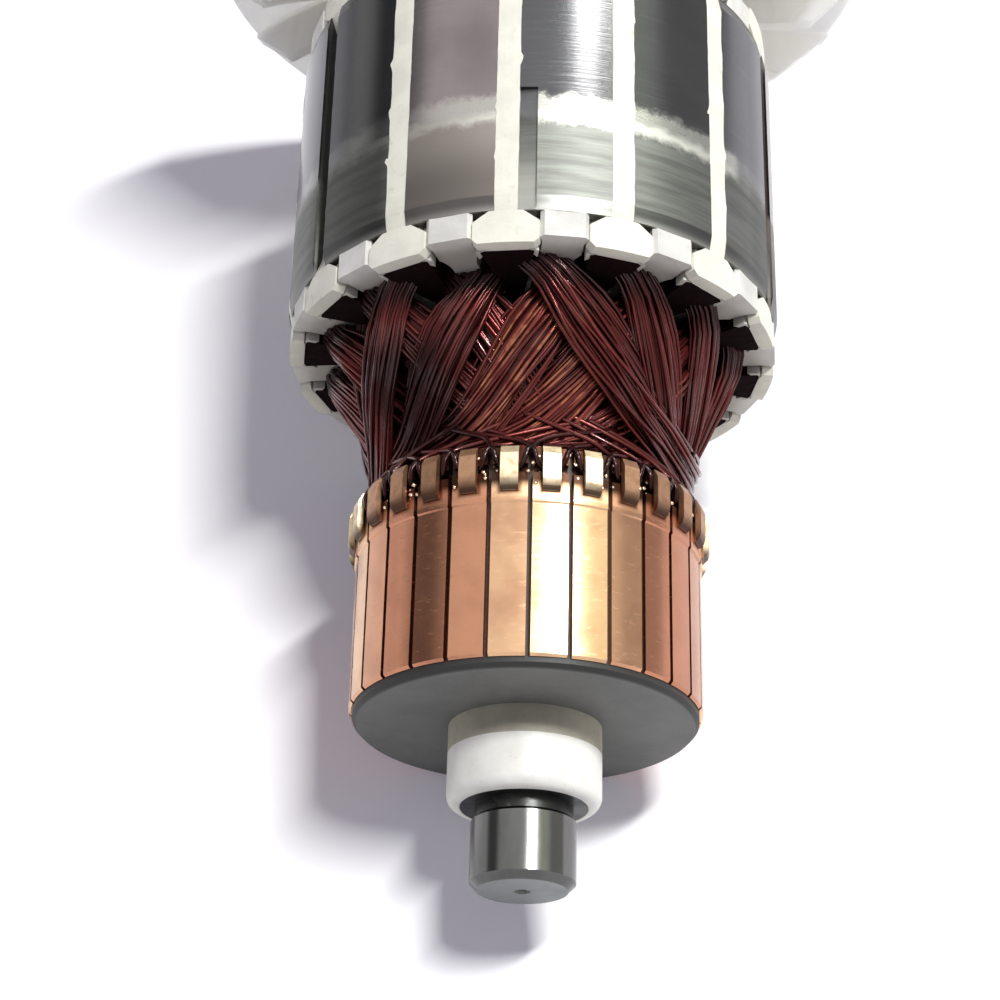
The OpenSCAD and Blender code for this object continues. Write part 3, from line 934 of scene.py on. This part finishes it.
# Depths at which a wedge's edges begin to wander and wander fully
LOOSE_DEPTH = 1.0
LOOSE_FULL = 0.3
WEDGE_SEED = 70


def draws(chance, *ranges):
    """Five rows of random values for each of two edges."""
    return [
        [[chance.uniform(*ends) for ends in ranges] for _ in range(5)] for _ in range(2)
    ]


def ragged_wedge(node, number, material):
    """A slot wedge with the uneven, chipped edges of a pressed-in strip."""
    name = f"wedge_{number:02d}"
    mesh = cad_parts[node].data.copy()
    mesh.name = name
    held = bmesh.new()
    held.from_mesh(mesh)
    for place in np.arange(CUFFS_START + 0.3, CUFFS_END, CUT_STEP):
        bmesh.ops.bisect_plane(
            held,
            geom=held.verts[:] + held.edges[:] + held.faces[:],
            plane_co=(0, place * MM, 0),
            plane_no=(0, 1, 0),
        )
    chance = random.Random(WEDGE_SEED + number)
    # Pace, phase and depth of five waves, then place, reach and depth of five
    # nicks or burrs, for both edges
    waves = draws(chance, (0.5, 2.6), (0, 6.28), (0.005, 0.025))
    nicks = draws(chance, (STACK_START, STACK_END), (0.2, 0.5), (-0.3, 0.16))
    angle = FIRST_SLOT + (number - 1) * SLOT_PITCH
    out = Vector((math.sin(angle), 0, math.cos(angle)))
    side = Vector((math.cos(angle), 0, -math.sin(angle)))
    for vert in held.verts:
        y = vert.co.y / MM
        high = vert.co.dot(out) / MM
        wide = vert.co.dot(side) / MM
        inside = min(y - STACK_START, STACK_END - y)
        if high < STACK_R - LOOSE_DEPTH or inside < 0.1:
            continue
        edge = 0 if wide > 0 else 1
        push = sum(size * math.sin(pace * y + phase) for pace, phase, size in waves[edge])
        for middle, reach, depth in nicks[edge]:
            push += depth * math.exp(-(((y - middle) / reach) ** 2))
        top = (high - STACK_R + LOOSE_DEPTH) / (LOOSE_DEPTH - LOOSE_FULL)
        top = min(1.0, max(0.0, top))
        lift = DEEP_LIFT if number in DEEP_WEDGES else PLAIN_LIFT
        lift = (lift + 0.04 * math.sin(1.3 * y + number)) * min(1.0, inside / 1.6)
        vert.co += side * (math.copysign(push * top, wide) * MM) + out * (lift * MM * top)
    held.to_mesh(mesh)
    held.free()
    shade_smooth(mesh, False)
    mesh.materials.clear()
    mesh.materials.append(material)
    piece = linked(name, mesh)
    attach(piece, "root")
    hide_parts(node)


# ------------------------------------------------------------------ stage

SQUARE = ((-1, -1), (1, -1), (1, 1), (-1, 1))
# Settings of a shader that shows no highlight and may glow
UNLIT = {"Specular IOR Level": 0.0, "Emission Strength": 1.0}
# Half the floor's width in metres, and what its shadows show beside the lamps
FLOOR_REACH = 1.6
SHADOW_LIGHT = (0.105, 0.1, 0.122)


def turn_to(place, target):
    """A turn that points an object's -Z from a place to a target."""
    return (Vector(target) - Vector(place)).to_track_quat("-Z", "Y")


def softbox(name, place, target, size, power):
    """A white area lamp. Sizes are in metres and power in watts."""
    data = bpy.data.lights.new(name, "AREA")
    data.shape = "RECTANGLE"
    data.size, data.size_y = size
    data.energy = power
    lamp = linked(name, data)
    lamp.location = place
    lamp.rotation_mode = "QUATERNION"
    lamp.rotation_quaternion = turn_to(place, target)
    lamp.visible_camera = False


def card(name, lean, reach, width, span, shade, solid):
    """A long card beside the shaft that only reflections show.

    It stands at an angle from straight up and a distance, spans a stretch along
    the shaft, and keeps its full shade over a share of its width.
    """
    side = math.radians(lean)
    length = span[1] - span[0]
    mesh = bpy.data.meshes.new(name)
    corners = [(x * width / 2, y * length / 2, 0) for x, y in SQUARE]
    mesh.from_pydata(corners, [], [(0, 1, 2, 3)])
    held = linked(name, mesh)
    held.location = (reach * math.sin(side), sum(span) / 2, reach * math.cos(side))
    held.rotation_euler = (0, side, 0)
    finish = Finish(name, {**UNLIT, "Base Color": rgba((0, 0, 0))})
    coordinates = finish.node("ShaderNodeTexCoord", output="Object")
    x = finish.node("ShaderNodeSeparateXYZ", None, {0: coordinates}, 0)
    core = 1 - abs(x).rise(width * solid, width * 0.5)
    finish.feed("Emission Color", finish.mix(core, (1, 1, 1), shade))
    mesh.materials.append(finish.material)
    for ray in ("camera", "diffuse", "transmission", "volume_scatter", "shadow"):
        setattr(held, f"visible_{ray}", False)


def table_top(slope, colour):
    """The pale floor, which touches the fan's rim and the core's near edge."""
    mesh = bpy.data.meshes.new("table_top")
    corners = [(x * FLOOR_REACH, y * FLOOR_REACH) for x, y in SQUARE]
    tilt = math.tan(math.radians(slope))
    touch_y, touch_z = (STACK_START + CORE_BEVEL) * MM, -STACK_R * MM
    points = [(x, y, touch_z - tilt * (y - touch_y)) for x, y in corners]
    mesh.from_pydata(points, [], [(0, 1, 2, 3)])
    floor = linked("table_top", mesh)
    finish = Finish("table_top", {**UNLIT, "Base Color": rgba(colour), "Roughness": 0.9})
    glow = finish.mix(seen_rays(finish), (0, 0, 0), SHADOW_LIGHT)
    finish.feed("Emission Color", glow)
    # The floor is clear from below, where it would hide the armature
    behind = finish.node("ShaderNodeNewGeometry", output="Backfacing")
    camera = finish.node("ShaderNodeLightPath", output="Is Camera Ray")
    clear = finish.node("ShaderNodeBsdfTransparent")
    solid = Signal(finish, finish.shader.outputs[0])
    shown = finish.node(
        "ShaderNodeMixShader", None, {0: behind * camera, 1: solid, 2: clear}
    )
    finish.links.new(shown.socket, finish.output.inputs["Surface"])
    mesh.materials.append(finish.material)


def seen_rays(finish):
    """1 for the rays that show the background itself."""
    camera = finish.node("ShaderNodeLightPath", output="Is Camera Ray")
    glossy = finish.node("ShaderNodeLightPath", output="Is Glossy Ray")
    through = finish.node("ShaderNodeLightPath", output="Is Transmission Ray")
    return camera.most(glossy).most(through)


class Surround(Finish):
    """The world's nodes, built with the same calls as a material's."""

    def __init__(self, world):
        world.use_nodes = True
        self.nodes, self.links = world.node_tree.nodes, world.node_tree.links
        self.shader = self.nodes["Background"]


# -------------------------------------------------------------- properties


def colour_property(name, description, default):
    return bpy.props.FloatVectorProperty(
        name=name, description=description, default=default,
        subtype="COLOR", size=3, min=0, max=1,
    )


class ArmatureColours(bpy.types.PropertyGroup):
    steel: colour_property("Steel", "Ground steel of the shaft", (0.18, 0.18, 0.172))
    core: colour_property("Core", "Outside of the lamination stack", (0.13, 0.13, 0.135))
    band: colour_property("Core band", "Ground band near the commutator", (0.185, 0.19, 0.172))
    # Bar colours at the light and dark ends of the painted reflection
    copper: colour_property("Copper", "Brightest commutator bars", (0.86, 0.56, 0.33))
    dull_copper: colour_property("Dull copper", "Darkest bars", (0.56, 0.25, 0.15))
    enamel: colour_property("Enamel", "Enamelled wire", (0.2, 0.036, 0.032))
    # The colour of the painted sheen on the lightest strands
    enamel_painted_sheen: colour_property("Enamel glow", "Lightest strands", (0.5, 0.19, 0.1))
    # Near-black colour of the turns inside, painted shade
    varnish_and_shade: colour_property("Varnish", "Soaked turns in the depth", (0.012, 0.0045, 0.0045))
    moulding: colour_property("Moulding", "Commutator moulding", (0.145, 0.147, 0.137))
    sleeve: colour_property("Sleeve", "Sleeve on the shaft", (0.52, 0.49, 0.38))
    bush: colour_property("Bush", "Bush beside the bearing", (0.93, 0.92, 0.85))
    insulation: colour_property("Insulation", "Slot wedges", (0.9, 0.89, 0.76))
    star: colour_property("Stars", "Star insulators and liners", (0.8, 0.79, 0.73))
    fan: colour_property("Fan", "Moulded fan", (0.97, 0.95, 0.83))


class ArmatureWinding(bpy.types.PropertyGroup):
    wire_d: bpy.props.FloatProperty(
        name="Wire", description="Diameter of the enamelled wire, in millimetres",
        default=0.31, min=0.2, max=1.0,
    )
    lead_d: bpy.props.FloatProperty(
        name="Lead", description="Diameter of the wire ends at the hooks",
        default=0.4, min=0.3, max=0.9,
    )
    span: bpy.props.IntProperty(
        name="Span", description="Number of slots from one side of a coil to the other",
        default=6, min=3, max=7,
    )
    seed: bpy.props.IntProperty(
        name="Seed", description="Start of the random run of the strands", default=11
    )


class ArmatureStage(bpy.types.PropertyGroup):
    slope: bpy.props.FloatProperty(
        name="Floor slope", description="Slope on which the armature lies, in degrees",
        default=13.38,
    )
    floor: colour_property("Floor", "Colour of the floor", (0.9, 0.9, 0.9))
    lens: bpy.props.FloatProperty(
        name="Lens", description="Focal length, in millimetres", default=79.85
    )
    elevation: bpy.props.FloatProperty(
        name="Elevation", description="Camera's angle above the shaft", default=64.56
    )
    turn: bpy.props.FloatProperty(
        name="Turn", description="Camera's turn round the vertical", default=0.248
    )
    roll: bpy.props.FloatProperty(
        name="Roll", description="Camera's roll", default=-1.115
    )
    eye: bpy.props.FloatVectorProperty(
        name="Camera", description="Place of the camera", subtype="TRANSLATION",
        unit="LENGTH", default=(-0.00203, -0.04732, 0.16087),
    )
    key_place: bpy.props.FloatVectorProperty(
        name="Key lamp", description="Place of the main lamp", subtype="TRANSLATION",
        unit="LENGTH", default=(0.27, 0.26, 0.82),
    )
    key_power: bpy.props.FloatProperty(
        name="Key power", description="Power of the main lamp, in watts", default=7.2
    )
    fill: colour_property("Fill", "Light from all round", (0.25, 0.24, 0.28))


# --------------------------------------------------------------- operators


class BuildShaft(bpy.types.Operator):
    """Finish the shaft, its sleeve and its bush"""

    bl_idname = "motor_armature.shaft"
    bl_label = "Shaft, sleeve and bush"

    def execute(self, context):
        colours = context.scene.armature_colours
        wear_finish(["shaft"], steel_finish(colours.steel))
        wear_finish(["shaft_sleeve"], sleeve_finish(colours.sleeve))
        wear_finish(["insulating_bush"], bush_finish(colours.bush))
        return {"FINISHED"}


class BuildCommutator(bpy.types.Operator):
    """Finish the copper bars and their moulding"""

    bl_idname = "motor_armature.commutator"
    bl_label = "Commutator"

    def execute(self, context):
        colours = context.scene.armature_colours
        wear_finish(BARS, copper_finish(colours.copper, colours.dull_copper))
        wear_finish(["commutator_moulding"], moulding_finish(colours.moulding))
        return {"FINISHED"}


class BuildCore(bpy.types.Operator):
    """Finish the lamination stack and its insulation"""

    bl_idname = "motor_armature.core"
    bl_label = "Core"

    def execute(self, context):
        colours = context.scene.armature_colours
        wear_finish(["lamination_stack"], lamination_finish(colours.core, colours.band))
        star = insulation_finish(
            "star_insulation", colours.star, tinted(colours.star, 0.85), 0.7
        )
        wear_finish(["front_star_insulator", "rear_star_insulator", "slot_liners"], star)
        return {"FINISHED"}


class BuildWedges(bpy.types.Operator):
    """Make the slot wedges with ragged edges"""

    bl_idname = "motor_armature.wedges"
    bl_label = "Slot wedges"

    def execute(self, context):
        colour = context.scene.armature_colours.insulation
        finish = insulation_finish("wedge_strip", colour, tinted(colour, 0.9), 0.5)
        for number, node in enumerate(WEDGES, 1):
            ragged_wedge(node, number, finish.material)
        return {"FINISHED"}


class BuildWindings(bpy.types.Operator):
    """Wind the coils of both heads and lead their ends to the hooks"""

    bl_idname = "motor_armature.windings"
    bl_label = "Windings"

    def execute(self, context):
        colours = context.scene.armature_colours
        winding = context.scene.armature_winding
        material = wire_finish(colours.enamel, colours.enamel_painted_sheen).material
        # painted shade: the coil sides and the inner turns wear a near-black finish
        painted_dark_shade = shadow_finish(colours.varnish_and_shade)
        wear_finish(["coil_sides"], painted_dark_shade)
        for head in (FRONT, REAR):
            under_winding(head, painted_dark_shade.material)
        for head in (FRONT, REAR):
            for slot in range(len(WEDGES)):
                seed = winding.seed + slot + head.first_seed
                coil(head, slot, winding.span, winding.wire_d, seed, material)
        hook_leads(winding.lead_d, material)
        return {"FINISHED"}


class BuildFan(bpy.types.Operator):
    """Finish the fan"""

    bl_idname = "motor_armature.fan"
    bl_label = "Fan"

    def execute(self, context):
        wear_finish(["fan"], fan_finish(context.scene.armature_colours.fan))
        return {"FINISHED"}


class BuildStage(bpy.types.Operator):
    """Lay the floor and set the lamps and the camera"""

    bl_idname = "motor_armature.stage"
    bl_label = "Floor, light and camera"

    def execute(self, context):
        scene = context.scene
        stage = scene.armature_stage
        scene.view_settings.view_transform = "Standard"
        table_top(stage.slope, stage.floor)
        middle = (0, 0.045, 0)
        softbox("key_lamp", stage.key_place, middle, (0.048, 0.25), stage.key_power)
        softbox("rim_lamp", (0.6, 0.0, 0.07), middle, (0.6, 0.035), 0.5)
        card(
            "left_flag", lean=-70, reach=0.42, width=0.25, span=(-0.55, 0.65),
            shade=(0.16, 0.16, 0.17), solid=0.34,
        )
        card(
            "right_flag", lean=83, reach=0.42, width=0.44, span=(-0.55, 0.65),
            shade=(0.48, 0.48, 0.48), solid=0.36,
        )
        card(
            "side_glow", lean=42, reach=0.6, width=0.3, span=(0.0, 0.6),
            shade=(1.1, 1.2, 0.95), solid=0.22,
        )
        card(
            "core_glow", lean=28.5, reach=0.8, width=0.36, span=(0.68, 1.1),
            shade=(34.0, 34.0, 33.0), solid=0.28,
        )
        world = bpy.data.worlds.new("surround")
        scene.world = world
        surround = Surround(world)
        light = surround.mix(seen_rays(surround), stage.fill, (1, 1, 1))
        surround.feed("Color", light)
        data = bpy.data.cameras.new("camera")
        data.lens = stage.lens
        data.sensor_width = 36
        data.clip_start, data.clip_end = 0.01, 10
        camera = linked("camera", data)
        turn = Matrix.Rotation(math.radians(stage.turn), 4, "Z")
        tilt = Matrix.Rotation(math.radians(90 - stage.elevation), 4, "X")
        roll = Matrix.Rotation(-math.radians(stage.roll), 4, "Z")
        camera.matrix_world = Matrix.Translation(stage.eye) @ turn @ tilt @ roll
        scene.camera = camera
        return {"FINISHED"}


OPERATORS = (
    BuildShaft,
    BuildCommutator,
    BuildCore,
    BuildWedges,
    BuildWindings,
    BuildFan,
    BuildStage,
)


class ArmaturePanel(bpy.types.Panel):
    """Lists the steps that build the armature"""

    bl_idname = "MOTOR_ARMATURE_PT_steps"
    bl_label = "Motor armature"
    bl_space_type = "VIEW_3D"
    bl_region_type = "UI"
    bl_category = "Armature"

    def draw(self, context):
        for step in OPERATORS:
            self.layout.operator(step.bl_idname)
        for group in ("colours", "winding", "stage"):
            box = self.layout.box()
            held = getattr(context.scene, f"armature_{group}")
            for key in held.__annotations__:
                box.prop(held, key)


GROUPS = {
    "armature_colours": ArmatureColours,
    "armature_winding": ArmatureWinding,
    "armature_stage": ArmatureStage,
}


def register():
    for kind in (*GROUPS.values(), *OPERATORS, ArmaturePanel):
        bpy.utils.register_class(kind)
    for name, kind in GROUPS.items():
        setattr(bpy.types.Scene, name, bpy.props.PointerProperty(type=kind))


def unregister():
    for name in GROUPS:
        delattr(bpy.types.Scene, name)
    for kind in reversed((*GROUPS.values(), *OPERATORS, ArmaturePanel)):
        bpy.utils.unregister_class(kind)


def main():
    register()
    for step in OPERATORS:
        group, name = step.bl_idname.split(".")
        getattr(getattr(bpy.ops, group), name)()


if __name__ == "__main__":
    main()
